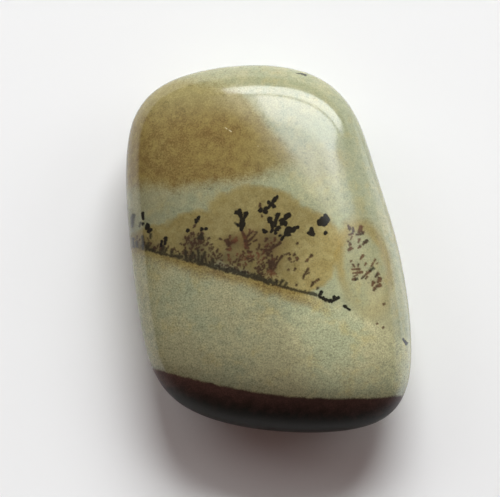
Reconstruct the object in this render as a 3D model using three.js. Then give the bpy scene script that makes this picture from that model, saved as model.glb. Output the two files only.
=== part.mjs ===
// A polished pebble of landscape porcellanite, in millimetres, +Z up.
// It is one natural stone: a soft, leaning rounded rectangle in plan, with a broad domed crown,
// a full round rim and a belly that was ground to a small flat, on which it rests.
// The origin is under the middle of the stone, on the plane of that flat. +Y is its long way.

import * as THREE from "three";
import { NURBSCurve } from "three/addons/curves/NURBSCurve.js";
import { mergeVertices } from "three/addons/utils/BufferGeometryUtils.js";

// Driving dimensions
const STONE_WIDTH = 20.6;
const STONE_LENGTH = 26.6;
const CROWN_RISE = 4.4;
const RIM_HEIGHT = 3.6;
const CROWN_FULLNESS = 2.8;
const BELLY_FULLNESS = 2.2;
const FLAT_SHARE = 0.42;

// The rim's outline: twelve pulls of a closed cubic spline, anticlockwise from the right side.
const RIM_PULLS = [
  [9.8, -0.2],
  [7.5, 6.0],
  [6.4, 10.7],
  [2.1, 14.0],
  [-8.9, 12.7],
  [-10.5, 7.5],
  [-10.1, 1.2],
  [-9.0, -8.3],
  [-6.7, -11.7],
  [-1.0, -13.4],
  [7.7, -13.5],
  [10.9, -10.5],
];
const SPLINE_DEGREE = 3;
const OUTLINE_SAMPLES = 1440;

// Towards the middle of the crown the outline eases into this leaning ellipse, so the dome has no ridges.
const DOME_HALF_WIDTH = 9.7;
const DOME_HALF_LENGTH = 13.2;
const DOME_LEAN = -0.16;
const DOME_EASE = 2;

// Mesh density: cells across, along and up the box that is drawn out into the stone.
const CELLS_ACROSS = 17;
const CELLS_ALONG = 22;
const CELLS_UP = 9;

// Samples the closed spline and scales it to the stone's width and length about its own middle.
function rimOutline() {
  const wrapped = [...RIM_PULLS, ...RIM_PULLS.slice(0, SPLINE_DEGREE)];
  const pulls = wrapped.map(([x, y]) => new THREE.Vector4(x, y, 0, 1));
  const knots = Array.from({ length: pulls.length + SPLINE_DEGREE + 1 }, (_, i) => i);
  const curve = new NURBSCurve(SPLINE_DEGREE, knots, pulls, SPLINE_DEGREE, pulls.length);
  const points = curve.getPoints(OUTLINE_SAMPLES).slice(0, OUTLINE_SAMPLES);
  const box = new THREE.Box3().setFromPoints(points);
  const middle = box.getCenter(new THREE.Vector3());
  const size = box.getSize(new THREE.Vector3());
  return points.map((p) => {
    const x = ((p.x - middle.x) * STONE_WIDTH) / size.x;
    const y = ((p.y - middle.y) * STONE_LENGTH) / size.y;
    return { angle: Math.atan2(y, x), radius: Math.hypot(x, y) };
  });
}

// Radius of the rim in a direction, by linear steps between the samples.
function radiusFinder(outline) {
  const sorted = [...outline].sort((a, b) => a.angle - b.angle);
  const first = sorted[0];
  const last = sorted[sorted.length - 1];
  sorted.unshift({ angle: last.angle - 2 * Math.PI, radius: last.radius });
  sorted.push({ angle: first.angle + 2 * Math.PI, radius: first.radius });
  return (angle) => {
    let low = 0;
    let high = sorted.length - 1;
    while (high - low > 1) {
      const half = (low + high) >> 1;
      if (sorted[half].angle <= angle) low = half;
      else high = half;
    }
    const span = sorted[high].angle - sorted[low].angle;
    const share = span > 0 ? (angle - sorted[low].angle) / span : 0;
    return THREE.MathUtils.lerp(sorted[low].radius, sorted[high].radius, share);
  };
}

// Radius of the leaning ellipse that the middle of the dome follows.
function domeRadius(angle) {
  const x = Math.cos(angle) - DOME_LEAN * Math.sin(angle);
  return 1 / Math.hypot(x / DOME_HALF_WIDTH, Math.sin(angle) / DOME_HALF_LENGTH);
}

// Height of the surface above the rim's plane at a share of the way from the middle to the rim.
function crownHeight(share) {
  return CROWN_RISE * Math.sqrt(Math.max(0, 1 - share ** CROWN_FULLNESS));
}

// Depth of the belly under the rim's plane: level on the flat, then rounding up to the rim.
function bellyDepth(share) {
  const past = Math.max(0, (share - FLAT_SHARE) / (1 - FLAT_SHARE));
  return RIM_HEIGHT * Math.sqrt(Math.max(0, 1 - past ** BELLY_FULLNESS));
}

// Draws a point of the unit box out to the stone's surface, by its direction from the middle.
function toSurface(point, rimRadius) {
  const spread = [point.x, point.y, point.z].map((v) => Math.tan((v * Math.PI) / 4));
  const direction = new THREE.Vector3(...spread).normalize();
  const angle = Math.atan2(direction.y, direction.x);
  const share = Math.min(1, Math.hypot(direction.x, direction.y));
  const rimWeight = share ** DOME_EASE;
  const radius = share * THREE.MathUtils.lerp(domeRadius(angle), rimRadius(angle), rimWeight);
  const height = direction.z >= 0 ? crownHeight(share) : -bellyDepth(share);
  return new THREE.Vector3(Math.cos(angle) * radius, Math.sin(angle) * radius, RIM_HEIGHT + height);
}

function stoneGeometry() {
  const box = new THREE.BoxGeometry(2, 2, 2, CELLS_ACROSS, CELLS_ALONG, CELLS_UP);
  box.deleteAttribute("normal");
  box.deleteAttribute("uv");
  const geometry = mergeVertices(box);
  const rimRadius = radiusFinder(rimOutline());
  const position = geometry.getAttribute("position");
  const point = new THREE.Vector3();
  for (let i = 0; i < position.count; i++) {
    const drawn = toSurface(point.fromBufferAttribute(position, i), rimRadius);
    position.setXYZ(i, drawn.x, drawn.y, drawn.z);
  }
  geometry.computeVertexNormals();
  return geometry;
}

const polishedStone = new THREE.MeshStandardMaterial({
  color: 0x9c9878,
  roughness: 0.15,
  metalness: 0,
});

const stone = new THREE.Mesh(stoneGeometry(), polishedStone);
stone.name = "porcellanite_stone";

const part = new THREE.Group();
part.add(stone);

export default part;
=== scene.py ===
"""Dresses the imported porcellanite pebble: its polished surface, its landscape markings and a plain studio."""
import math

import bpy
import numpy as np
from mathutils import Matrix, Vector


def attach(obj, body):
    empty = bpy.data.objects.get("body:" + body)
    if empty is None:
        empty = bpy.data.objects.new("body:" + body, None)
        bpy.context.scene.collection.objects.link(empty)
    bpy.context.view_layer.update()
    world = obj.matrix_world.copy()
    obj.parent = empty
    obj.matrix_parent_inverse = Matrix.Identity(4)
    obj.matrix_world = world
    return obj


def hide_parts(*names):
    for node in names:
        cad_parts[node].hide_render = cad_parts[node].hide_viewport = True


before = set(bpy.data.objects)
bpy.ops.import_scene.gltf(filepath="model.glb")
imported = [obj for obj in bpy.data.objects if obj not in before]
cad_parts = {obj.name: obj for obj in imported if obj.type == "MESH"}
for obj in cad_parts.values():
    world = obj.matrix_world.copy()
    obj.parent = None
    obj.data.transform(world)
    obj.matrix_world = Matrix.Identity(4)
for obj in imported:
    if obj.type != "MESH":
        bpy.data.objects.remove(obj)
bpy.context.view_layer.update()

bl_info = {
    "name": "Landscape Porcellanite Pebble",
    "version": (1, 0, 0),
    "blender": (4, 5, 0),
    "location": "View3D > Sidebar > Pebble",
    "description": "Builds a polished pebble of landscape porcellanite around its solid, and a studio for it",
    "category": "Object",
}

STONE_NODE = "porcellanite_stone"
BODY = "root"
MM = 0.001
MOST_TRIANGLES = 200_000

# Where the markings lie, seen from above, in millimetres from the middle of the stone.
# The seam that the dendrites stand on and the top of the dark layer are cubic curves of x.
SEAM_CURVE = (-2.66, -0.283, -0.0057, -0.00063)
DARK_CURVE = (-10.58, -0.133, 0.0129, 0.0001)

# Each leaf is a tapered stroke: root x, root y, tip x, tip y, radius at the tip.
BLACK_LEAVES = (
    # Left edge
    (-8.97, 1.95, -9.00, 2.34, 0.08),
    (-9.02, 1.54, -8.98, 1.64, 0.06),
    (-8.72, 1.26, -8.64, 1.46, 0.13),
    (-8.58, 1.02, -8.50, 1.14, 0.14),
    (-7.66, -0.04, -7.62, 0.30, 0.06),
    (-7.40, 0.10, -7.34, 0.52, 0.10),
    # Second shrub, its crown
    (-5.20, 1.62, -4.96, 1.96, 0.07),
    (-5.18, 1.60, -5.14, 1.68, 0.11),
    (-5.80, 0.98, -5.76, 1.02, 0.11),
    (-4.80, 1.04, -4.74, 1.10, 0.09),
    (-4.50, 1.08, -4.44, 1.12, 0.09),
    # Open hand on the third shrub
    (-1.94, 1.06, -1.87, 1.72, 0.16),
    (-1.87, 1.66, -2.07, 2.18, 0.11),
    (-2.08, 2.16, -2.06, 2.42, 0.09),
    (-2.12, 2.18, -2.31, 2.28, 0.10),
    (-1.80, 1.76, -1.70, 1.98, 0.08),
    (-1.70, 1.96, -1.58, 2.20, 0.12),
    (-1.98, 1.24, -2.20, 1.40, 0.07),
    # Feathered twig at the top
    (-0.67, 2.38, -0.57, 2.46, 0.12),
    (0.20, 2.90, 0.44, 3.22, 0.12),
    (0.44, 3.22, 0.61, 3.40, 0.07),
    (0.13, 2.84, -0.01, 3.00, 0.10),
    (0.16, 2.80, 0.40, 2.69, 0.10),
    (0.12, 2.80, -0.02, 2.60, 0.08),
    (-0.02, 2.58, -0.24, 2.56, 0.09),
    (-0.26, 2.52, -0.20, 2.30, 0.12),
    # Fan of petals
    (0.27, 1.22, 0.21, 1.54, 0.12),
    (0.19, 1.50, 0.06, 1.82, 0.13),
    (0.45, 1.30, 0.52, 1.72, 0.10),
    (0.52, 1.72, 0.65, 2.11, 0.13),
    (1.09, 1.76, 1.43, 2.09, 0.15),
    (0.89, 1.40, 0.92, 1.72, 0.11),
    (0.92, 1.48, 1.18, 1.52, 0.13),
    (0.48, 0.98, 0.72, 1.19, 0.11),
    (0.17, 0.86, 0.27, 1.02, 0.08),
    (0.48, 0.98, 0.48, 0.79, 0.08),
    (-0.40, 1.02, -0.27, 0.89, 0.10),
    # Fat leaf beside it
    (1.24, 0.80, 1.42, 1.02, 0.24),
    (1.42, 0.90, 1.74, 1.03, 0.17),
    (1.72, 1.05, 2.07, 1.22, 0.09),
    (1.16, 0.64, 1.50, 0.67, 0.08),
    (1.08, 0.59, 0.92, 0.36, 0.08),
    (0.76, 0.59, 0.80, 0.62, 0.06),
    (9.62, -6.62, 9.84, -6.88, 0.08),
    # Hook at the end of the seam
    (3.56, -3.68, 3.76, -3.40, 0.08),
    (3.60, -3.72, 4.10, -3.96, 0.09),
    (4.10, -3.96, 4.48, -4.04, 0.09),
    (4.48, -4.04, 4.96, -3.80, 0.08),
    (4.62, -3.92, 4.66, -3.72, 0.07),
    (5.36, -4.38, 5.48, -4.42, 0.09),
    (5.48, -4.44, 5.76, -4.64, 0.05),
)
# Clean-edged blots, without lobes.
BLOTS = (
    (3.64, 1.62, 3.66, 1.60, 0.27),
    (3.66, 1.52, 3.92, 1.54, 0.24),
    (3.84, 1.80, 4.06, 1.78, 0.27),
    (4.00, 1.98, 4.03, 2.01, 0.15),
    (3.04, 1.12, 3.04, 0.88, 0.16),
    (2.92, 0.76, 3.14, 0.72, 0.14),
    (2.80, 0.80, 2.84, 0.82, 0.08),
    (4.01, 0.77, 4.05, 0.84, 0.11),
)
# Softer sooty strokes: tufts on the seam and the shaded leaves of the right edge.
SOOTY_LEAVES = (
    (-4.96, -1.24, -5.02, -0.40, 0.07),
    (-4.84, -1.28, -4.52, -0.56, 0.07),
    (-5.16, -1.16, -5.32, -0.70, 0.06),
    (-5.95, -0.72, -5.90, -0.46, 0.08),
    (-9.76, 1.56, -9.70, 2.26, 0.11),
    (-9.22, 1.46, -9.14, 1.70, 0.06),
    (-8.44, 0.56, -8.42, 0.82, 0.08),
    (-4.78, 0.76, -4.74, 0.46, 0.12),
    (-4.96, 0.60, -4.98, 0.50, 0.08),
    (-2.40, 1.52, -2.30, 1.44, 0.06),
    (0.55, -2.86, 0.56, -2.62, 0.10),
    (0.78, -2.92, 0.98, -2.58, 0.08),
    (1.12, -3.04, 1.26, -2.76, 0.08),
    (0.70, -2.96, 2.00, -3.30, 0.08),
    (2.00, -3.30, 3.36, -3.60, 0.10),
    (7.22, -1.82, 7.46, -1.62, 0.08),
    (6.20, -2.50, 6.30, -2.44, 0.07),
)
RUSTY_LEAVES = (
    # Stem and twigs under the hand
    (-1.90, 0.92, -1.68, 0.46, 0.12),
    (-1.68, 0.46, -1.58, -0.20, 0.16),
    (-1.66, 0.44, -1.40, 0.70, 0.07),
    (-1.38, 0.70, -1.12, 0.92, 0.06),
    (-1.38, 0.70, -1.34, 1.06, 0.05),
    (-1.52, 0.12, -1.20, 0.42, 0.07),
    (-1.20, 0.42, -0.92, 0.74, 0.05),
    (-1.18, 0.88, -0.84, 0.84, 0.05),
    (-1.50, -0.16, -1.30, 0.04, 0.05),
    (-1.10, 0.20, -0.86, 0.30, 0.05),
    (-0.62, 2.90, -0.62, 2.70, 0.09),
    (-0.50, 2.04, -0.48, 1.98, 0.06),
    (-7.74, -0.30, -7.68, 0.10, 0.08),
    (-8.24, -0.28, -8.14, -0.16, 0.12),
    # Brown hand left of it, and the twigs at its foot
    (-2.75, 0.42, -2.75, 0.60, 0.06),
    (-3.06, 0.26, -2.80, 0.06, 0.16),
    (-2.58, 0.14, -2.38, 0.28, 0.14),
    (-2.33, 0.46, -2.30, 0.48, 0.06),
    (-2.98, -0.36, -2.76, -0.38, 0.11),
    (-1.46, -0.58, -1.44, -0.54, 0.10),
    (-1.34, -0.88, -1.28, -0.82, 0.09),
    (-1.68, -1.10, -1.62, -1.02, 0.10),
    (-2.06, -0.96, -1.96, -0.80, 0.07),
    (-1.32, -1.02, -1.10, -0.86, 0.08),
    # Second shrub
    (-4.86, 0.62, -4.72, 0.80, 0.11),
    (-5.84, 0.30, -5.70, 0.46, 0.10),
    (-5.40, 0.04, -5.24, 0.16, 0.10),
    (-4.98, 0.28, -4.82, 0.42, 0.08),
    (-4.46, -0.06, -4.32, 0.10, 0.09),
    (-5.34, 1.22, -5.28, 1.32, 0.07),
    # Round the foot of the fan
    (-0.26, 0.22, -0.12, 0.38, 0.09),
    (0.86, 0.08, 0.48, -0.14, 0.08),
    (0.48, -0.14, 0.06, -0.42, 0.10),
    (0.06, -0.42, -0.30, -0.46, 0.12),
    (-0.26, -0.20, -0.10, -0.08, 0.09),
    (-0.50, -0.76, -0.36, -0.62, 0.08),
    (-0.12, -0.82, 0.02, -0.66, 0.08),
    (-0.40, -1.10, -0.30, -0.98, 0.07),
    (2.00, 0.02, 2.06, 0.08, 0.07),
    # Wedge of twigs
    (0.16, -2.08, 0.02, -1.16, 0.08),
    (0.18, -2.04, 0.26, -1.02, 0.07),
    (0.26, -2.00, 0.60, -1.30, 0.07),
    (0.60, -1.30, 0.96, -0.84, 0.07),
    (0.14, -2.14, 0.20, -2.06, 0.10),
    (1.10, -0.76, 1.46, -0.64, 0.05),
    (1.46, -0.76, 1.52, -0.74, 0.05),
    (1.78, -0.80, 1.84, -0.72, 0.08),
    (1.48, -1.12, 1.50, -1.02, 0.10),
    (2.00, -1.12, 2.04, -1.02, 0.12),
    (1.78, -1.26, 1.80, -1.24, 0.05),
    (1.60, -1.28, 1.62, -1.26, 0.05),
    (1.34, -1.82, 1.44, -1.82, 0.06),
    (1.80, -1.86, 1.88, -1.74, 0.06),
    (2.92, -0.94, 3.06, -0.80, 0.10),
    (2.62, -1.22, 2.78, -1.08, 0.09),
    (2.44, -2.46, 2.56, -2.14, 0.07),
    (2.58, -2.12, 2.80, -1.74, 0.08),
    (2.66, -2.12, 2.86, -2.04, 0.06),
    (3.02, -3.00, 3.16, -2.74, 0.08),
    (3.16, -2.74, 3.54, -2.50, 0.08),
    (3.44, -3.18, 3.50, -3.12, 0.07),
    (1.92, -2.92, 1.98, -2.88, 0.07),
    # Right group
    (5.66, 1.36, 5.78, 1.16, 0.10),
    (6.00, 1.22, 6.04, 0.96, 0.07),
    (5.72, 0.72, 5.98, 0.80, 0.06),
    (6.44, 0.92, 6.58, 1.30, 0.13),
    (6.56, 1.06, 6.72, 0.88, 0.09),
    (6.24, 0.74, 6.56, 0.78, 0.07),
    (5.84, 0.40, 5.94, 0.60, 0.04),
    (5.64, 0.26, 5.66, 0.24, 0.06),
    (5.76, 0.00, 5.80, 0.02, 0.10),
    (5.68, -0.38, 5.86, -0.26, 0.12),
    (6.38, 0.20, 6.46, 0.40, 0.08),
    (6.72, 0.06, 7.00, 0.32, 0.10),
    (6.38, -0.20, 6.52, -0.12, 0.09),
    (6.54, -1.00, 6.72, -0.74, 0.09),
    (5.84, -1.20, 5.88, -1.14, 0.06),
    (5.92, -1.76, 6.46, -1.72, 0.07),
    (6.10, -1.58, 6.00, -1.42, 0.06),
    (6.36, -1.56, 6.40, -1.40, 0.05),
    (6.02, -2.02, 6.64, -1.94, 0.09),
    (6.04, -2.26, 6.30, -2.14, 0.05),
    (6.86, -1.44, 6.92, -1.30, 0.06),
    (6.60, -2.40, 6.84, -2.20, 0.05),
    (7.30, -1.52, 7.44, -1.26, 0.06),
    (7.50, -1.20, 7.60, -1.00, 0.05),
    (7.70, -1.32, 7.76, -1.26, 0.04),
    (7.62, -2.24, 7.80, -2.00, 0.09),
    (7.80, -2.60, 7.94, -2.36, 0.13),
    (7.38, -2.86, 7.46, -2.66, 0.11),
    (7.70, -2.92, 7.94, -2.84, 0.13),
    (7.48, -3.22, 7.56, -3.06, 0.09),
    (6.92, -2.10, 7.22, -1.84, 0.10),
    (6.90, -2.40, 7.02, -2.24, 0.06),
    (5.98, -2.48, 6.12, -2.44, 0.10),
    (8.18, -4.24, 8.24, -4.16, 0.07),
    (7.68, -5.62, 7.74, -5.58, 0.06),
    (8.10, -5.88, 8.20, -5.82, 0.06),
)
# Pale nicks in the polish.
CHALK_STROKES = (
    (-3.12, 8.40, -2.98, 8.30, 0.035),
    (-2.84, 8.22, -2.66, 8.08, 0.03),
    (-0.78, 7.04, -0.76, 7.03, 0.03),
)
# A thin dark crack at the top rim, and a grey one in the pale band.
HAIRLINES = (
    (2.00, 12.50, 2.34, 12.52, 0.06),
    (2.34, 12.52, 2.66, 12.42, 0.10),
    (-4.62, 3.98, -4.10, 3.96, 0.03),
)
# Clumps of small brown leaves: middle x, middle y, spread, leaves.
RUSTY_CLUMPS = (
    (-2.80, 0.10, 0.26, 5),
    (-1.66, -1.06, 0.20, 10),
    (-1.30, -0.74, 0.16, 6),
    (-0.72, -1.28, 0.18, 8),
    (-0.46, -1.90, 0.20, 9),
    (-0.60, -0.46, 0.24, 6),
    (0.04, -0.36, 0.26, 7),
    (0.44, 0.06, 0.20, 5),
    (0.24, -1.20, 0.18, 7),
    (0.30, -1.56, 0.17, 8),
    (0.12, -2.00, 0.12, 8),
    (-5.02, 0.46, 0.26, 8),
    (-5.44, 0.00, 0.34, 12),
    (-4.52, 0.02, 0.26, 8),
    (-5.90, 0.26, 0.18, 5),
    (-3.60, -0.90, 0.30, 8),
    (-2.60, -1.20, 0.30, 8),
)
# Soft dark smoke round the roots: middle x, middle y, half width, half height, density.
SMOKE_PUFFS = (
    (-9.40, 0.10, 0.70, 0.65, 0.40),
    (-8.40, -0.10, 0.80, 0.35, 0.42),
    (-9.80, 1.55, 0.30, 0.70, 0.40),
    (-5.30, 0.00, 0.95, 0.85, 0.60),
    (-4.80, -0.70, 0.70, 0.60, 0.30),
    (-5.60, -1.15, 1.60, 0.30, 0.45),
    (-3.20, -1.10, 1.60, 0.55, 0.38),
    (-1.40, -1.80, 1.80, 0.45, 0.35),
    (0.16, -1.50, 0.42, 0.60, 0.45),
    (0.20, 0.45, 0.70, 0.60, 0.35),
    (-2.60, 0.10, 0.50, 0.45, 0.50),
    (-3.30, -0.75, 0.90, 0.50, 0.22),
    (-0.90, -0.60, 1.40, 1.00, 0.25),
)
# Soft red-brown haze among the stems, laid out in the same way.
BLUSH_PUFFS = (
    (-1.74, 0.30, 0.42, 0.80, 0.80),
    (-1.20, 0.50, 0.70, 0.60, 0.50),
    (-0.20, 0.10, 1.10, 0.90, 0.60),
    (0.05, -0.40, 0.60, 0.45, 0.55),
    (0.80, 0.20, 0.60, 0.50, 0.35),
    (-2.75, 0.15, 0.60, 0.50, 0.70),
    (-2.30, -0.80, 1.20, 0.60, 0.35),
    (-5.20, 0.30, 0.90, 0.80, 0.30),
    (0.40, -1.20, 0.60, 0.80, 0.50),
    (1.70, -1.10, 0.60, 0.60, 0.25),
    (6.20, -1.55, 0.60, 0.50, 0.35),
    (5.90, 0.20, 0.50, 0.80, 0.25),
    (7.60, -2.70, 0.45, 0.45, 0.35),
    (-8.60, 0.30, 1.00, 0.70, 0.30),
    (-3.70, 1.60, 0.90, 0.70, 0.14),
    (-2.40, 0.34, 0.50, 0.45, 0.45),
)
# Ochre stain round the dendrites: middle x, middle y, half width, half height.
STAIN_LOBES = (
    (-5.20, 0.40, 2.60, 2.15),
    (-7.60, -0.20, 3.00, 1.70),
    (-0.80, 1.10, 3.60, 3.30),
    (2.50, 0.00, 2.90, 2.80),
    (1.50, -2.00, 3.20, 1.60),
)

# Beads along the seam: first x, last x, step, smallest and largest radius.
SEAM_RUNS = (
    (-8.6, -5.0, 0.19, 0.03, 0.10),
    (-5.0, -1.0, 0.13, 0.05, 0.12),
    (-1.0, 0.3, 0.10, 0.10, 0.15),
    (-3.4, 0.3, 0.12, 0.05, 0.10),
)
# Blades of grass on it: how many, first x, last x, shortest and tallest.
GRASS_RUNS = (
    (8, -9.9, -8.2, 0.2, 0.7),
    (8, -8.2, -6.2, 0.1, 0.4),
    (12, -6.2, -3.4, 0.2, 0.6),
)
# Tiny twigs over it: how many, first x, last x and the spread of their height.
UNDERGROWTH_RUNS = (
    (20, -9.6, -6.5, 0.25),
    (50, -6.2, -3.4, 0.7),
    (60, -3.4, 1.2, 0.7),
)
# The underside's seam, and where its shrubs stand.
BELLY_RUN = (-10.6, 2.5, 0.15, 0.06, 0.13)
BELLY_SHRUBS = (-6.9, -4.8, -2.9, -0.6, 1.6)
SHRUB_STEP = 0.16

# Soft patches of colour: middle x, middle y, half width, half height.
PALE_BAND = (2.1, 3.8, 5.8, 2.4)
# The pale foot at the lower right is partly the stone's own tone and partly painted light from the right.
PALE_FOOT_AND_PAINTED_LIGHT = (4.9, -4.6, 4.7, 8.0)
PALE_GLADE = (4.9, 1.2, 1.8, 2.4)
RING = (6.85, -1.7, 1.8, 3.2)
RING_LEAN = 0.12
CLOUD = (-6.04, 8.35, 7.8, 4.5)
CLOUD_LEAN = 0.77
CLOUD_FOOT_RISE = 0.15
CLOUD_TONGUE = (-1.1, 6.7, 3.4, 1.7)
# The cloud ends at the upper right on a straight line, where x plus this share of y comes to this.
CLOUD_CUT_SHARE = 0.822
CLOUD_CUT = 7.11
# The whole stone grows paler towards the right, by this share for each millimetre: partly its own tone and
# partly painted light, standing in for light from the right.
RIGHTWARD_PALING_AND_PAINTED_LIGHT = 0.0165

# Growth of the finer marks: a stroke's radius at its root as a share of its tip's, and the seeds.
TAPER = 0.65
SEAM_SEED = 11
UNDERGROWTH_SEED = 23
LOBE_SEED = 5
BELLY_SEED = 41

# The mesh. Marks further than FAR from a point aren't measured there.
FAR = 0.6
REFINE_MARGIN = 0.22
REFINE_CUTS = 4
BASE_LEVELS = 2
SMOOTH_LEVELS = 4
RIM_PLANE = 3.6
MERGE_DISTANCE = 0.01
QUAD_ANGLE = math.radians(60)

# Colours of the studio's lights and of the room that the polish mirrors, from its foot to its top.
DAYLIGHT = (0.95, 0.99, 1.0)
GLASS = (0.93, 0.97, 1.0)
MILKY = (0.80, 0.90, 1.0)
STRAW = (1.0, 0.95, 0.72)
ROOM_LOW = (0.052, 0.024, 0.020, 1)
ROOM_HIGH = (0.12, 0.075, 0.065, 1)

# Each light on its wall: azimuth and roll in degrees, its left, right, low and high edges as shares of
# the distance to the wall, radiance, colour, the shares over which those edges fade, and the distance
# to the wall in metres.
WINDOWS = {
    "window_pane": (30, 16.7, (-0.78, 0.31, 0.52, 1.75), 6.2, GLASS, (0.13, 0.1, 0.0, 0.95), 1.0),
    "window_sill": (30, 16.7, (-1.0, 0.42, 0.25, 0.485), 8.5, GLASS, (0.12, 0.1, 0.0, 0.0), 1.0),
    "window_haze": (30, 16.7, (-1.3, 0.72, 0.52, 3.4), 2.6, MILKY, (0.45, 0.34, 0.0, 0.7), 1.04),
    "window_sash": (30, 16.7, (-0.15, 0.65, 0.8, 2.05), 1.5, MILKY, (0.35, 0.35, 0.15, 0.5), 1.08),
    "window_drape": (30, 16.7, (-0.95, 0.0, 1.2, 2.5), 2.0, GLASS, (0.3, 0.5, 0.3, 0.6), 1.12),
    "side_veil": (62, 0, (-0.12, 0.20, 0.0, 0.95), 0.3, GLASS, (0.3, 0.4, 0.0, 0.4), 1.0),
    "rim_glow": (90, 0, (-0.6, 0.6, 0.0, 0.30), 1.2, GLASS, (0.3, 0.3, 0.0, 0.6), 1.0),
}
# Cards that lie on the floor beside the stone: their reach across and along it in metres, radiance and
# colour. Away from the stone they fade to about the floor's own brightness.
CARDS = {
    "right_card": ((0.013, 0.050), (-0.020, 0.014), 1.9, MILKY),
    "left_card": ((-0.050, -0.013), (0.003, 0.020), 0.95, STRAW),
}
CARD_HEIGHT = 0.0003
CARD_FADE = 0.45
# Where the camera looks, in millimetres.
CAMERA_TARGET = (-1.33, 0.0, RIM_PLANE)


def curve_at(coefficients, x):
    """Height of a cubic bedding curve at x."""
    return sum(c * x**power for power, c in enumerate(coefficients))


def with_lobes(leaves, rng):
    """The leaves and, on the sides of each, a few small lobes, as manganese dendrites have."""
    grown = list(leaves)
    for ax, ay, bx, by, radius in leaves:
        length = math.hypot(bx - ax, by - ay)
        heading = math.atan2(by - ay, bx - ax)
        for _ in range(1 + round(5 * length)):
            along = rng.uniform(0.3, 1.0)
            turn = heading + rng.choice((-1, 1)) * rng.uniform(0.5, 1.4)
            reach = radius * rng.uniform(0.7, 1.25)
            x = ax + (bx - ax) * along
            y = ay + (by - ay) * along
            tip = radius * rng.uniform(0.35, 0.6)
            grown.append((x, y, x + reach * math.cos(turn), y + reach * math.sin(turn), tip))
    return grown


def seam_beads(rng, start, end, step, smallest, largest):
    """Beads strung along the seam, with gaps and short drips."""
    beads = []
    x = start
    while x < end:
        y = curve_at(SEAM_CURVE, x) + rng.normal(0, 0.05)
        radius = rng.uniform(smallest, largest)
        beads.append((x, y, x + rng.uniform(0.06, 0.2), y + rng.normal(-0.02, 0.05), radius))
        if rng.random() < 0.3:
            reach = rng.uniform(0.08, 0.3)
            beads.append((x, y, x + rng.normal(0, 0.06), y + reach, radius * 0.55))
        x += step * rng.uniform(0.6, 1.4)
    return beads


def undergrowth(rng, count, start, end, height):
    """Tiny twigs scattered over the seam, thinning out upwards."""
    twigs = []
    for _ in range(count):
        x = rng.uniform(start, end)
        y = curve_at(SEAM_CURVE, x) + 0.15 + abs(rng.normal(0, height))
        heading = math.pi / 2 + rng.normal(0, 0.7)
        reach = rng.uniform(0.06, 0.24)
        tip = rng.uniform(0.025, 0.055)
        twigs.append((x, y, x + reach * math.cos(heading), y + reach * math.sin(heading), tip))
    return twigs


def grass(rng, count, start, end, shortest, tallest):
    """Upright blades that stand on the seam."""
    blades = []
    for _ in range(count):
        x = rng.uniform(start, end)
        y = curve_at(SEAM_CURVE, x) + rng.uniform(-0.1, 0.15)
        reach = rng.uniform(shortest, tallest)
        blades.append((x, y, x + rng.normal(0, 0.08), y + reach, rng.uniform(0.04, 0.08)))
    return blades


def clumped(rng, clumps):
    """Small leaves gathered in clumps, each pointing away from the foot of its clump."""
    leaves = []
    for middle_x, middle_y, spread, count in clumps:
        for _ in range(count):
            x = middle_x + rng.normal(0, spread)
            y = middle_y + rng.normal(0, spread)
            heading = math.atan2(y - middle_y + spread, x - middle_x) + rng.normal(0, 0.4)
            reach = rng.uniform(0.06, 0.18)
            tip = rng.uniform(0.04, 0.085)
            leaves.append((x, y, x + reach * math.cos(heading), y + reach * math.sin(heading), tip))
    return leaves


def shrub(rng, x, y, heading, reach, leaf, order):
    """A branching shrub: short strokes with side branches in turn on its left and right."""
    strokes = []
    steps = max(2, round(reach / SHRUB_STEP))
    side = rng.choice((-1, 1))
    for step in range(steps):
        heading += rng.normal(0, 0.16)
        end_x = x + SHRUB_STEP * math.cos(heading)
        end_y = y + SHRUB_STEP * math.sin(heading)
        strokes.append((x, y, end_x, end_y, leaf * 0.5))
        x, y = end_x, end_y
        if order and step % 2:
            side = -side
            turn = heading + side * rng.uniform(0.5, 0.9)
            branch = reach * (1 - 0.6 * step / steps) * rng.uniform(0.3, 0.55)
            strokes += shrub(rng, x, y, turn, branch, leaf * 0.9, order - 1)
    strokes.append((x, y, x + leaf * math.cos(heading), y + leaf * math.sin(heading), leaf))
    return strokes


def crown_marks():
    """The black, the sooty and the rusty strokes of the domed face."""
    seam_rng = np.random.default_rng(SEAM_SEED)
    sooty = []
    for run in SEAM_RUNS:
        sooty += seam_beads(seam_rng, *run)
    for run in GRASS_RUNS:
        sooty += grass(seam_rng, *run)
    twig_rng = np.random.default_rng(UNDERGROWTH_SEED)
    twigs = clumped(twig_rng, RUSTY_CLUMPS)
    for run in UNDERGROWTH_RUNS:
        twigs += undergrowth(twig_rng, *run)
    lobe_rng = np.random.default_rng(LOBE_SEED)
    black = with_lobes(BLACK_LEAVES, lobe_rng) + list(BLOTS)
    rusty = with_lobes(RUSTY_LEAVES, lobe_rng) + twigs
    return black, with_lobes(SOOTY_LEAVES, lobe_rng) + sooty, rusty


def belly_marks():
    """The strokes of the underside, where the same seam comes out with other shrubs on it."""
    rng = np.random.default_rng(BELLY_SEED)
    sooty = seam_beads(rng, *BELLY_RUN)
    black = []
    rusty = []
    for x in BELLY_SHRUBS:
        height = rng.uniform(0.9, 2.0)
        strokes = shrub(rng, x, curve_at(SEAM_CURVE, x), heading=1.5, reach=height, leaf=0.1, order=2)
        stem = len(strokes) // 3
        rusty += strokes[:stem]
        black += strokes[stem:]
    return black, sooty, rusty


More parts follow.
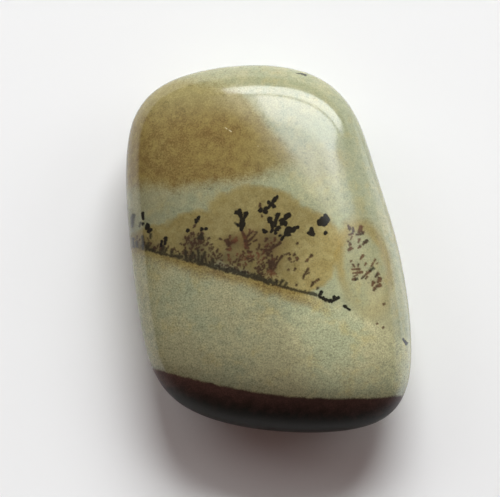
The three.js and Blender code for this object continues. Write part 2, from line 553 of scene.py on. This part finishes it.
def stroke_distance(strokes, x, y):
    """Distance in the plan from each point to the nearest stroke's edge, negative inside it."""
    nearest = np.full(x.shape, FAR)
    for ax, ay, bx, by, tip in strokes:
        reach = tip + FAR
        near = (x > min(ax, bx) - reach) & (x < max(ax, bx) + reach)
        near &= (y > min(ay, by) - reach) & (y < max(ay, by) + reach)
        if not near.any():
            continue
        along_x, along_y = bx - ax, by - ay
        from_x, from_y = x[near] - ax, y[near] - ay
        span = max(along_x**2 + along_y**2, 1e-9)
        share = np.clip((from_x * along_x + from_y * along_y) / span, 0, 1)
        radius = tip * (TAPER + (1 - TAPER) * share)
        gap = np.hypot(from_x - share * along_x, from_y - share * along_y) - radius
        nearest[near] = np.minimum(nearest[near], gap)
    return nearest


def puff_density(puffs, x, y):
    """Soft clouds added up: 0 is clear and 1 is dense."""
    clear = np.ones(x.shape)
    for middle_x, middle_y, half_x, half_y, density in puffs:
        spread = ((x - middle_x) / half_x) ** 2 + ((y - middle_y) / half_y) ** 2
        clear *= 1 - density * np.exp(-spread)
    return 1 - clear


def lobe_depth(lobes, x, y):
    """How far a point lies inside the union of ellipses: 1 in a middle, 0 on an edge, negative outside."""
    depth = np.full(x.shape, -1.0)
    for middle_x, middle_y, half_x, half_y in lobes:
        away = np.hypot((x - middle_x) / half_x, (y - middle_y) / half_y)
        depth = np.maximum(depth, 1 - away)
    return depth


def marks_at(points):
    """All the mark fields at an array of points in millimetres."""
    x, y, z = points.T
    on_crown = z > RIM_PLANE
    fields = {}
    for name, above, below in zip(("ink", "soot", "rust"), crown_marks(), belly_marks()):
        fields[name] = np.where(on_crown, stroke_distance(above, x, y), stroke_distance(below, x, y))
    return fields | {
        "hairline": np.where(on_crown, stroke_distance(HAIRLINES, x, y), FAR),
        "chalk": np.where(on_crown, stroke_distance(CHALK_STROKES, x, y), FAR),
        "smoke": puff_density(SMOKE_PUFFS, x, y),
        "blush": puff_density(BLUSH_PUFFS, x, y),
        "stain": lobe_depth(STAIN_LOBES, x, y),
    }


def points_of(mesh):
    """The mesh's vertices in millimetres."""
    flat = np.empty(len(mesh.vertices) * 3)
    mesh.vertices.foreach_get("co", flat)
    return flat.reshape(-1, 3) / MM


class Tree:
    """A node tree that is written as expressions."""

    def __init__(self, node_tree):
        self.node_tree = node_tree
        node_tree.nodes.clear()

    def add(self, kind, settings=None, inputs=None):
        """Adds a node, first its settings and then the values or links of its sockets."""
        node = self.node_tree.nodes.new(kind)
        for name, value in (settings or {}).items():
            setattr(node, name, value)
        for name, value in (inputs or {}).items():
            if isinstance(value, Term):
                self.node_tree.links.new(value.socket, node.inputs[name])
            elif isinstance(value, bpy.types.NodeSocket):
                self.node_tree.links.new(value, node.inputs[name])
            else:
                node.inputs[name].default_value = value
        return node

    def term(self, kind, settings=None, inputs=None, output=0):
        """Adds a node and wraps one of its outputs."""
        return Term(self, self.add(kind, settings, inputs).outputs[output])

    def noise(self, where, scale, detail=2.0, roughness=0.5):
        """Noise about 0, mostly between -0.3 and 0.3."""
        inputs = {"Vector": where, "Scale": scale, "Detail": detail, "Roughness": roughness}
        return self.term("ShaderNodeTexNoise", inputs=inputs) - 0.5

    def ramp(self, value, low, high):
        """0 below low, 1 above high and smooth between."""
        inputs = {"Value": value, "From Min": low, "From Max": high}
        return self.term("ShaderNodeMapRange", {"interpolation_type": "SMOOTHSTEP"}, inputs)

    def mix(self, share, first, second):
        """A colour between two, by share."""
        colours = {0: share, 6: first, 7: second}
        return self.term("ShaderNodeMix", {"data_type": "RGBA"}, colours, output=2)

    def scaled(self, vector, factor):
        """A vector or colour times a number."""
        return self.term("ShaderNodeVectorMath", {"operation": "SCALE"}, {0: vector, 3: factor})

    def field(self, name):
        """One of the mark fields that the mesh carries."""
        return self.term("ShaderNodeAttribute", {"attribute_name": name}, output="Fac")


class Term:
    """A number that varies over the surface. Arithmetic on it adds Math nodes."""

    def __init__(self, tree, socket):
        self.tree = tree
        self.socket = socket

    def math(self, operation, first, second):
        return self.tree.term("ShaderNodeMath", {"operation": operation}, {0: first, 1: second})

    def __add__(self, other):
        return self.math("ADD", self, other)

    __radd__ = __add__

    def __sub__(self, other):
        return self.math("SUBTRACT", self, other)

    def __rsub__(self, other):
        return self.math("SUBTRACT", other, self)

    def __mul__(self, other):
        return self.math("MULTIPLY", self, other)

    __rmul__ = __mul__

    def __truediv__(self, other):
        return self.math("DIVIDE", self, other)

    def __pow__(self, other):
        return self.math("POWER", self, other)

    def at_least(self, other):
        return self.math("MAXIMUM", self, other)

    def at_most(self, other):
        return self.math("MINIMUM", self, other)


def shader_curve(coefficients, x):
    """The cubic bedding curve as an expression on x."""
    constant, slope, bend, twist = coefficients
    return ((x * twist + bend) * x + slope) * x + constant


def reach_from(patch, x, y):
    """How far out from a patch's middle a point lies: 1 is on its edge."""
    middle_x, middle_y, half_x, half_y = patch
    across = (x - middle_x) / half_x
    along = (y - middle_y) / half_y
    return (across**2 + along**2) ** 0.5


def porcellanite_material(colours):
    """Polished stone: olive clay, an ochre cloud, stained dendrites on a seam and a dark layer."""
    material = bpy.data.materials.new("polished_porcellanite")
    material.use_nodes = True
    tree = Tree(material.node_tree)
    object_point = tree.term("ShaderNodeTexCoord", output="Object")
    point = tree.scaled(object_point, 1 / MM)
    split = tree.add("ShaderNodeSeparateXYZ", inputs={"Vector": point})
    x, y = (Term(tree, split.outputs[axis]) for axis in "XY")
    above_seam = y - shader_curve(SEAM_CURVE, x)
    above_dark = y - shader_curve(DARK_CURVE, x)

    # Noise about 0, from the broadest to the finest
    broad = tree.noise(point, 0.22, 3.0)
    drift = tree.noise(point, 0.55, 3.0)
    mottle = tree.noise(point, 1.7, 3.0)
    grain = tree.noise(point, 9.0, 3.0, 0.7)
    fleck = tree.noise(point, 4.2, 1.0)

    # Ground: grey-green clay, lighter under the seam and in a band over it, darker at the far left
    clay = tree.mix(tree.ramp(broad + mottle * 0.35, -0.14, 0.14), colours.clay_cool, colours.clay_warm)
    clay = tree.mix(tree.ramp(drift + mottle * 0.5, 0.02, 0.3) * 0.45, clay, colours.clay_yellow)
    clay = tree.scaled(clay, 1.205 - tree.ramp(above_seam, -0.6, 0.4) * 0.195)
    band = 1 - tree.ramp(reach_from(PALE_BAND, x, y) + drift * 0.2, 0.2, 1.0)
    far_left = (1 - tree.ramp(x, -8.0, -3.0)) * tree.ramp(above_seam, 0.0, 1.0)
    clay = tree.scaled(clay, 1 + band * 0.27 - far_left * 0.1)

    # Ochre cloud: it runs off the left edge, with a tongue to the right and a straight upper right end
    cloud_middle_x, cloud_middle_y, cloud_half_x, cloud_half_y = CLOUD
    leaned_x = x - cloud_middle_x + (y - cloud_middle_y) * CLOUD_LEAN
    foot_rise = (x + 5.0).at_least(0.0) * CLOUD_FOOT_RISE
    cloud_x = (leaned_x / cloud_half_x).at_least(0.0)
    cloud_y = (y - cloud_middle_y - foot_rise) / cloud_half_y
    tongue = reach_from(CLOUD_TONGUE, x, y) * 0.45 + 0.50
    cloud_edge = drift * 0.3 + mottle * 0.12 + grain * 0.25
    cloud_reach = ((cloud_x**2 + cloud_y**2) ** 0.5).at_most(tongue) + cloud_edge
    past_cut = x + y * CLOUD_CUT_SHARE - CLOUD_CUT + drift * 0.9 + mottle * 0.4 + grain * 0.5
    cloud = (1 - tree.ramp(cloud_reach, 0.78, 1.08)) * (1 - tree.ramp(past_cut, -0.55, 0.45))
    cloud_mottle = broad * 0.5 + mottle * 0.5 + grain * 0.5 + tree.ramp(x, -4.0, 1.5) * 0.14
    cloud_tint = tree.mix(tree.ramp(cloud_mottle, -0.2, 0.2), colours.ochre_deep, colours.ochre_light)
    cloud_top = tree.ramp(y, 8.0, 11.6)
    cloud_tint = tree.mix(cloud_top * 0.75, cloud_tint, colours.clay_yellow)
    cloud_share = 0.93 - cloud_top * 0.1 - tree.ramp(x, -2.5, 1.5) * 0.2
    colour = tree.mix(cloud * cloud_share, clay, cloud_tint)

    # Stain round the dendrites, with a darker tide line at its edge
    stain_depth = tree.field("stain") + drift * 0.35 + mottle * 0.22
    over = tree.ramp(above_seam, -0.75, -0.2)
    stain = tree.ramp(stain_depth, -0.05, 0.16) * over
    tide = tree.ramp(stain_depth, -0.06, 0.04) * (1 - tree.ramp(stain_depth, 0.06, 0.24)) * over
    stain_tint = tree.mix(tree.ramp(mottle + broad, -0.2, 0.25), colours.stain, colours.stain_pale)
    colour = tree.mix(stain * 0.85, colour, stain_tint)
    tide_run = 0.35 - tree.ramp(x, 2.5, 4.5) * 0.3
    colour = tree.mix(tide * tide_run, colour, colours.ochre_light)

    # Thin rusty fringe under the seam
    fringe_foot = tree.ramp(above_seam + drift * 0.9 + mottle * 0.4, -1.3, -0.5)
    fringe = fringe_foot * (1 - tree.ramp(above_seam, -0.2, 0.1))
    fringe_run = (1 - tree.ramp(x, 2.0, 5.0)) * (0.5 + tree.ramp(x, -8.0, -4.5) * 0.5)
    fringe_tint = tree.mix(tree.ramp(mottle + grain, -0.15, 0.1), colours.ochre_deep, colours.ochre_light)
    colour = tree.mix(fringe * fringe_run * 0.78, colour, fringe_tint)

    # Ring of stain round the dendrites of the right edge
    leaned_x = x + (y - RING[1]) * RING_LEAN
    ring_reach = reach_from(RING, leaned_x, y) + mottle * 0.25 + drift * 0.15
    ring = tree.ramp(ring_reach, 0.68, 0.95) * (1 - tree.ramp(ring_reach, 1.0, 1.3))
    ring_fill = 1 - tree.ramp(ring_reach, 0.7, 1.2)
    colour = tree.mix(ring_fill * 0.2, colour, colours.clay_yellow)
    ring_share = 0.25 + tree.ramp(y, -4.0, -1.5) * 0.45
    colour = tree.mix(ring * ring_share, colour, colours.ochre_light)

    # Paler towards the right, most of all at the lower right: partly the stone's own tone and partly painted
    # light from the right. Paler stone also between the stain and the ring
    pale = 1 - tree.ramp(reach_from(PALE_FOOT_AND_PAINTED_LIGHT, x, y) + drift * 0.2, 0.35, 1.0)
    glade = 1 - tree.ramp(reach_from(PALE_GLADE, x, y), 0.2, 1.0)
    colour = tree.scaled(colour, 1 + x * RIGHTWARD_PALING_AND_PAINTED_LIGHT + pale * 0.42 + glade * 0.26)

    # Haze and dendrites, from the softest to the sharpest
    blush = (tree.field("blush") * (1 + mottle * 1.6 + grain * 0.8)).at_least(0.0)
    blush = blush * tree.ramp(above_seam, -0.3, 0.1)
    colour = tree.mix(blush.at_most(0.85) * 0.85, colour, colours.blush)
    seam_haze = 1 - tree.ramp(above_seam + mottle * 0.5 + grain * 0.4, 0.05, 0.5)
    seam_haze = seam_haze * tree.ramp(above_seam, -0.25, 0.0)
    seam_run = 1 - tree.ramp(x, 0.0, 1.2)
    colour = tree.mix(seam_haze * seam_run * 0.38, colour, colours.smoke)
    smoke = (tree.field("smoke") * (1 + mottle * 2.0 + grain)).at_least(0.0)
    smoke = smoke * tree.ramp(above_seam, -0.25, 0.1)
    colour = tree.mix(smoke.at_most(0.85), colour, colours.smoke)

    ragged = grain * 0.10 + mottle * 0.06
    rust = 1 - tree.ramp(tree.field("rust") + ragged, -0.04, 0.085)
    reddest = tree.ramp(x, -4.2, -3.2) * 0.12 + tree.ramp(x, 5.0, 6.0) * 0.16
    redness = tree.ramp(drift * 0.7 + mottle + reddest, 0.06, 0.36)
    rust_tint = tree.mix(redness, colours.rust_brown, colours.rust_red)
    colour = tree.mix(rust * 0.88, colour, rust_tint)
    soot = 1 - tree.ramp(tree.field("soot") + ragged, -0.04, 0.11)
    colour = tree.mix(soot * 0.88, colour, colours.soot)
    ink = 1 - tree.ramp(tree.field("ink") + ragged, 0.005, 0.085)
    colour = tree.mix(ink * 0.97, colour, colours.ink)

    # Dark layer at the foot, with a soft bleed above it
    bleed = 1 - tree.ramp(above_dark + drift * 0.8, -0.2, 1.1)
    colour = tree.mix(bleed * 0.45, colour, colours.bleed)
    layer_height = tree.ramp(above_dark + mottle * 1.2, -1.7, -0.3)
    layer_tint = tree.mix(layer_height, colours.dark_low, colours.dark_high)
    # The dark layer is made lighter towards the left: a painted reflection.
    layer_tint = tree.scaled(layer_tint, 1.45 - tree.ramp(x, -6.0, 4.0) * 0.45)
    layer = 1 - tree.ramp(above_dark + mottle * 0.25 + grain * 0.1, -0.1, 0.1)
    colour = tree.mix(layer, colour, layer_tint)

    # Cracks, specks, grain and pale nicks over all of it
    hairline = 1 - tree.ramp(tree.field("hairline") + ragged, -0.03, 0.03)
    colour = tree.mix(hairline * 0.9, colour, colours.soot)
    speck = tree.ramp(fleck + grain * 0.3, 0.12, 0.22)
    below = 1 - tree.ramp(above_seam, -0.6, 0.4)
    speckle = (1 - speck * 0.2) * (1 + grain * (1.1 + below * 0.9) + mottle * 0.35)
    colour = tree.scaled(colour, speckle)
    chalk = 1 - tree.ramp(tree.field("chalk") + ragged, -0.02, 0.03)
    colour = tree.mix(chalk * 0.6, colour, colours.chalk)

    # Polish over all but the dark layer, which is duller
    roughness = 0.09 + tree.ramp(mottle + grain * 0.5, -0.2, 0.3) * 0.05 + chalk * 0.3
    ripple = tree.noise(point, 0.9, 1.0) * 0.6 + grain * 0.04
    bump = tree.term("ShaderNodeBump", inputs={"Strength": 0.06, "Distance": 0.2 * MM, "Height": ripple})
    polished = {"Base Color": colour, "Roughness": roughness, "IOR": 1.54, "Normal": bump}
    duller = {"Base Color": colour, "Roughness": 0.4, "Specular IOR Level": 0.19, "Normal": bump}
    gloss = tree.term("ShaderNodeBsdfPrincipled", inputs=polished)
    satin = tree.term("ShaderNodeBsdfPrincipled", inputs=duller)
    shader = tree.term("ShaderNodeMixShader", inputs={0: layer, 1: gloss, 2: satin})
    tree.add("ShaderNodeOutputMaterial", inputs={"Surface": shader})
    return material


def colour_property(name, description, default):
    return bpy.props.FloatVectorProperty(
        name=name, description=description, default=default, subtype="COLOR", size=4, min=0.0, max=1.0
    )


class PebbleColours(bpy.types.PropertyGroup):
    """Colours of the stone's layers and markings."""

    clay_cool: colour_property("Cool clay", "Grey-green ground of the stone", (0.245, 0.257, 0.156, 1))
    clay_warm: colour_property("Warm clay", "Warmer ground, in broad patches", (0.289, 0.275, 0.157, 1))
    clay_yellow: colour_property("Yellow clay", "Faint yellow mottling of it", (0.277, 0.232, 0.092, 1))
    ochre_deep: colour_property("Deep ochre", "Brown side of the ochre cloud", (0.168, 0.102, 0.029, 1))
    ochre_light: colour_property("Light ochre", "Olive side of the ochre cloud", (0.225, 0.166, 0.049, 1))
    stain: colour_property("Stain", "Iron stain round the dendrites", (0.216, 0.162, 0.051, 1))
    stain_pale: colour_property("Pale stain", "Paler patches of the stain", (0.246, 0.203, 0.078, 1))
    smoke: colour_property("Smoke", "Haze round the roots of the dendrites", (0.042, 0.036, 0.022, 1))
    blush: colour_property("Blush", "Red-brown haze among the stems", (0.105, 0.060, 0.024, 1))
    soot: colour_property("Soot", "Soft dark strokes on the seam", (0.022, 0.020, 0.013, 1))
    rust_brown: colour_property("Brown rust", "Brown dendrites", (0.036, 0.018, 0.013, 1))
    rust_red: colour_property("Red rust", "Reddest dendrites", (0.098, 0.038, 0.019, 1))
    ink: colour_property("Ink", "Black dendrites and the seam", (0.0085, 0.0085, 0.0070, 1))
    bleed: colour_property("Bleed", "Clay just above the dark layer", (0.150, 0.143, 0.080, 1))
    dark_high: colour_property("Dark layer, top", "Maroon top of it", (0.0520, 0.0250, 0.0190, 1))
    dark_low: colour_property("Dark layer, foot", "Greenish black foot of it", (0.0085, 0.0068, 0.0036, 1))
    chalk: colour_property("Chalk", "Pale nicks in the polish", (0.54, 0.49, 0.30, 1))


class PebbleStudio(bpy.types.PropertyGroup):
    """The camera, the floor and the lights."""

    camera_distance: bpy.props.FloatProperty(
        name="Camera distance", description="From the stone to the camera", default=0.450, unit="LENGTH"
    )
    camera_lens: bpy.props.FloatProperty(
        name="Lens", description="Focal length in millimetres", default=451.3, unit="CAMERA"
    )
    camera_tilt: bpy.props.FloatProperty(
        name="Tilt", description="Camera's lean from overhead", default=math.radians(4.0), subtype="ANGLE"
    )
    floor_side: bpy.props.FloatProperty(
        name="Floor side", description="Side of the square floor", default=3.0, unit="LENGTH"
    )
    floor_colour: colour_property("Floor", "Plain pale floor", (0.86, 0.86, 0.86, 1))
    key_brightness: bpy.props.FloatProperty(
        name="Key light", description="Brightness of the wide soft main light", default=17.3, min=0.0
    )
    side_brightness: bpy.props.FloatProperty(
        name="Side light", description="Brightness of the soft light on the right", default=1.8, min=0.0
    )


def start_clean():
    """Object mode with nothing selected."""
    if bpy.context.object and bpy.context.object.mode != "OBJECT":
        bpy.ops.object.mode_set(mode="OBJECT")
    bpy.ops.object.select_all(action="DESELECT")


def select_only(piece):
    start_clean()
    piece.select_set(True)
    bpy.context.view_layer.objects.active = piece


def copy_of_solid(name):
    """A loose copy of the stone's solid, its vertices merged and its triangles joined where they pair up."""
    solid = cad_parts[STONE_NODE]
    stone = solid.copy()
    stone.data = solid.data.copy()
    stone.name = name
    stone.data.name = name
    for key in list(stone.keys()):
        del stone[key]
    stone.parent = None
    stone.data.materials.clear()
    bpy.context.collection.objects.link(stone)
    select_only(stone)
    if stone.data.has_custom_normals:
        bpy.ops.mesh.customdata_custom_splitnormals_clear()
    bpy.ops.object.mode_set(mode="EDIT")
    bpy.ops.mesh.select_all(action="SELECT")
    bpy.ops.mesh.remove_doubles(threshold=MERGE_DISTANCE * MM)
    bpy.ops.mesh.tris_convert_to_quads(face_threshold=QUAD_ANGLE, shape_threshold=QUAD_ANGLE)
    bpy.ops.mesh.normals_make_consistent(inside=False)
    bpy.ops.object.mode_set(mode="OBJECT")
    return stone


def subdivide_smoothly(piece, levels):
    select_only(piece)
    smooth = piece.modifiers.new("Smooth", "SUBSURF")
    smooth.levels = levels
    smooth.render_levels = levels
    bpy.ops.object.modifier_apply(modifier=smooth.name)


def refine_near_marks(stone):
    """Cuts the faces near the fine marks small enough to carry them."""
    points = points_of(stone.data)
    fields = marks_at(points)
    gap = np.minimum.reduce([fields[name] for name in ("ink", "soot", "rust", "hairline", "chalk")])
    marked = gap < REFINE_MARGIN
    start_clean()
    select_only(stone)
    for part in (stone.data.vertices, stone.data.edges, stone.data.polygons):
        part.foreach_set("select", np.zeros(len(part), dtype=bool))
    for face in stone.data.polygons:
        face.select = any(marked[corner] for corner in face.vertices)
    bpy.ops.object.mode_set(mode="EDIT")
    bpy.ops.mesh.select_mode(type="FACE")
    bpy.ops.mesh.subdivide(number_cuts=REFINE_CUTS, ngon=False)
    bpy.ops.object.mode_set(mode="OBJECT")


def settle_on(piece, target):
    select_only(piece)
    settle = piece.modifiers.new("Settle", "SHRINKWRAP")
    settle.target = target
    settle.wrap_method = "NEAREST_SURFACEPOINT"
    bpy.ops.object.modifier_apply(modifier=settle.name)


class PEBBLE_OT_stone(bpy.types.Operator):
    """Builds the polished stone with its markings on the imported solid"""

    bl_idname = "pebble.stone"
    bl_label = "Dress the Stone"

    def execute(self, context):
        stone = copy_of_solid("polished_stone")
        smooth = copy_of_solid("smooth_guide")
        subdivide_smoothly(stone, BASE_LEVELS)
        subdivide_smoothly(smooth, SMOOTH_LEVELS)
        refine_near_marks(stone)
        settle_on(stone, smooth)
        guide_mesh = smooth.data
        bpy.data.objects.remove(smooth)
        bpy.data.meshes.remove(guide_mesh)
        for name, values in marks_at(points_of(stone.data)).items():
            layer = stone.data.attributes.new(name, "FLOAT", "POINT")
            layer.data.foreach_set("value", values.astype(np.float32))
        select_only(stone)
        bpy.ops.object.shade_smooth()
        stone.data.materials.append(porcellanite_material(context.scene.pebble_colours))
        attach(stone, BODY)
        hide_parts(STONE_NODE)
        stone.data.calc_loop_triangles()
        if len(stone.data.loop_triangles) > MOST_TRIANGLES:
            raise RuntimeError("The dressed stone has more triangles than a piece may have")
        return {"FINISHED"}


def area_light(name, width, height, radiance, colour):
    """A rectangular light of an even radiance."""
    bpy.ops.object.light_add(type="AREA")
    lamp = bpy.context.object
    lamp.name = name
    lamp.data.shape = "RECTANGLE"
    lamp.data.size = width
    lamp.data.size_y = height
    lamp.data.energy = radiance * math.pi * width * height
    lamp.data.color = colour
    return lamp


def light_nodes(lamp):
    """The light's emptied node tree, with the shares of the way across and up its face."""
    lamp.data.use_nodes = True
    tree = Tree(lamp.data.node_tree)
    spot = tree.term("ShaderNodeNewGeometry", output="Parametric")
    split = tree.add("ShaderNodeSeparateXYZ", inputs={"Vector": spot})
    u, v = (Term(tree, split.outputs[axis]) for axis in "XY")
    return tree, u, v


def end_light_nodes(tree, strength):
    """Sends a strength that varies over the light's face to its output."""
    glow = tree.term("ShaderNodeEmission", inputs={"Strength": strength})
    tree.add("ShaderNodeOutputLight", inputs={"Surface": glow})


def wall_light(name, azimuth, roll, sides, radiance, colour, fades=(0, 0, 0, 0), wall=1.0):
    """A flat light on an upright wall that stands a metre or so from the stone.

    Azimuth is from +Y towards +X. Lights that overlap stand on walls of their own, because two in one
    plane would hide each other in the polish.
    """
    left, right, low, high = (side * wall for side in sides)
    turn = math.radians(azimuth)
    lean = math.radians(roll)
    outward = Vector((math.sin(turn), math.cos(turn), 0))
    level = Vector((math.cos(turn), -math.sin(turn), 0))
    rise = Vector((0, 0, 1))
    across = level * math.cos(lean) - rise * math.sin(lean)
    upward = level * math.sin(lean) + rise * math.cos(lean)
    place = outward * wall + across * (left + right) / 2 + upward * (low + high) / 2
    lamp = area_light(name, right - left, high - low, radiance, colour)
    turned = Matrix((-across, upward, outward)).transposed().to_4x4()
    lamp.matrix_world = Matrix.Translation(place) @ turned
    if any(fades):
        tree, u, v = light_nodes(lamp)
        edges = (u, 1 - u, v, 1 - v)
        steps = [tree.ramp(edge, 0.0, share) for share, edge in zip(fades, edges) if share]
        end_light_nodes(tree, math.prod(steps))
    return lamp


def floor_card(name, across, along, radiance, colour):
    """A glowing card that lies on the floor, brightest near the stone, for the stone's flank to mirror."""
    lamp = area_light(name, across[1] - across[0], along[1] - along[0], radiance, colour)
    lamp.location = (sum(across) / 2, sum(along) / 2, CARD_HEIGHT)
    lamp.rotation_euler = (math.pi, 0, 0)
    lamp.visible_camera = False
    tree, u, v = light_nodes(lamp)
    inward = u if across[0] > 0 else 1 - u
    near = tree.ramp(inward, 0.2, 1.0) * tree.ramp(v, 0.0, 0.3) * tree.ramp(1 - v, 0.0, 0.3)
    end_light_nodes(tree, CARD_FADE + near * (1 - CARD_FADE))
    return lamp


class PEBBLE_OT_studio(bpy.types.Operator):
    """Adds the plain pale floor, the soft lights and the camera"""

    bl_idname = "pebble.studio"
    bl_label = "Set the Studio"

    def execute(self, context):
        studio = context.scene.pebble_studio
        start_clean()
        bpy.ops.mesh.primitive_plane_add(size=studio.floor_side)
        floor = context.object
        floor.name = "floor"
        paper = bpy.data.materials.new("pale_floor")
        paper.use_nodes = True
        tree = Tree(paper.node_tree)
        matt = {"Base Color": studio.floor_colour, "Roughness": 1.0, "Specular IOR Level": 0.0}
        shader = tree.term("ShaderNodeBsdfPrincipled", inputs=matt)
        tree.add("ShaderNodeOutputMaterial", inputs={"Surface": shader})
        floor.data.materials.append(paper)

        key_sides = (-0.42, 0.42, 0.40, 0.98)
        key = wall_light("key_light", 8, 0, key_sides, studio.key_brightness, DAYLIGHT)
        side_sides = (-0.45, 0.30, 0.02, 0.85)
        side = wall_light("side_light", 66, 0, side_sides, studio.side_brightness, DAYLIGHT)
        fill = wall_light("left_fill", -45, 0, (-0.40, 0.40, 0.1, 0.9), 2.5, DAYLIGHT)
        for diffuse_only in (key, side, fill):
            diffuse_only.visible_glossy = False
        mirrored = [wall_light(name, *window) for name, window in WINDOWS.items()]
        mirrored += [floor_card(name, *card) for name, card in CARDS.items()]
        for mirrored_only in mirrored:
            mirrored_only.visible_diffuse = False

        world = bpy.data.worlds.new("room")
        world.use_nodes = True
        context.scene.world = world
        tree = Tree(world.node_tree)
        direction = tree.term("ShaderNodeTexCoord", output="Generated")
        split = tree.add("ShaderNodeSeparateXYZ", inputs={"Vector": direction})
        rise = Term(tree, split.outputs["Z"])
        room = tree.mix(tree.ramp(rise, 0.0, 0.7), ROOM_LOW, ROOM_HIGH)
        seen = tree.term("ShaderNodeLightPath", output="Is Camera Ray")
        shown = tree.mix(seen, room, studio.floor_colour)
        background = tree.term("ShaderNodeBackground", inputs={"Color": shown, "Strength": 1.0})
        tree.add("ShaderNodeOutputWorld", inputs={"Surface": background})

        target = Vector(CAMERA_TARGET) * MM
        lean = studio.camera_tilt
        back = Vector((0, -math.sin(lean), math.cos(lean)))
        bpy.ops.object.camera_add(location=target + back * studio.camera_distance)
        camera = context.object
        camera.name = "overhead_camera"
        camera.data.sensor_width = 36.0
        camera.data.lens = studio.camera_lens
        camera.rotation_euler = (lean, 0, 0)
        context.scene.camera = camera
        context.scene.view_settings.view_transform = "Standard"
        return {"FINISHED"}


class PEBBLE_PT_panel(bpy.types.Panel):
    """Lists the steps that build the pebble"""

    bl_idname = "PEBBLE_PT_panel"
    bl_label = "Porcellanite Pebble"
    bl_space_type = "VIEW_3D"
    bl_region_type = "UI"
    bl_category = "Pebble"

    def draw(self, context):
        for step in OPERATORS:
            self.layout.operator(step.bl_idname)
        for group in (context.scene.pebble_colours, context.scene.pebble_studio):
            box = self.layout.box()
            for name in group.__annotations__:
                box.prop(group, name)


OPERATORS = (PEBBLE_OT_stone, PEBBLE_OT_studio)
CLASSES = (PebbleColours, PebbleStudio, *OPERATORS, PEBBLE_PT_panel)


def register():
    for cls in CLASSES:
        bpy.utils.register_class(cls)
    bpy.types.Scene.pebble_colours = bpy.props.PointerProperty(type=PebbleColours)
    bpy.types.Scene.pebble_studio = bpy.props.PointerProperty(type=PebbleStudio)


def unregister():
    del bpy.types.Scene.pebble_studio
    del bpy.types.Scene.pebble_colours
    for cls in reversed(CLASSES):
        bpy.utils.unregister_class(cls)


def main():
    register()
    bpy.ops.pebble.stone()
    bpy.ops.pebble.studio()


if __name__ == "__main__":
    main()
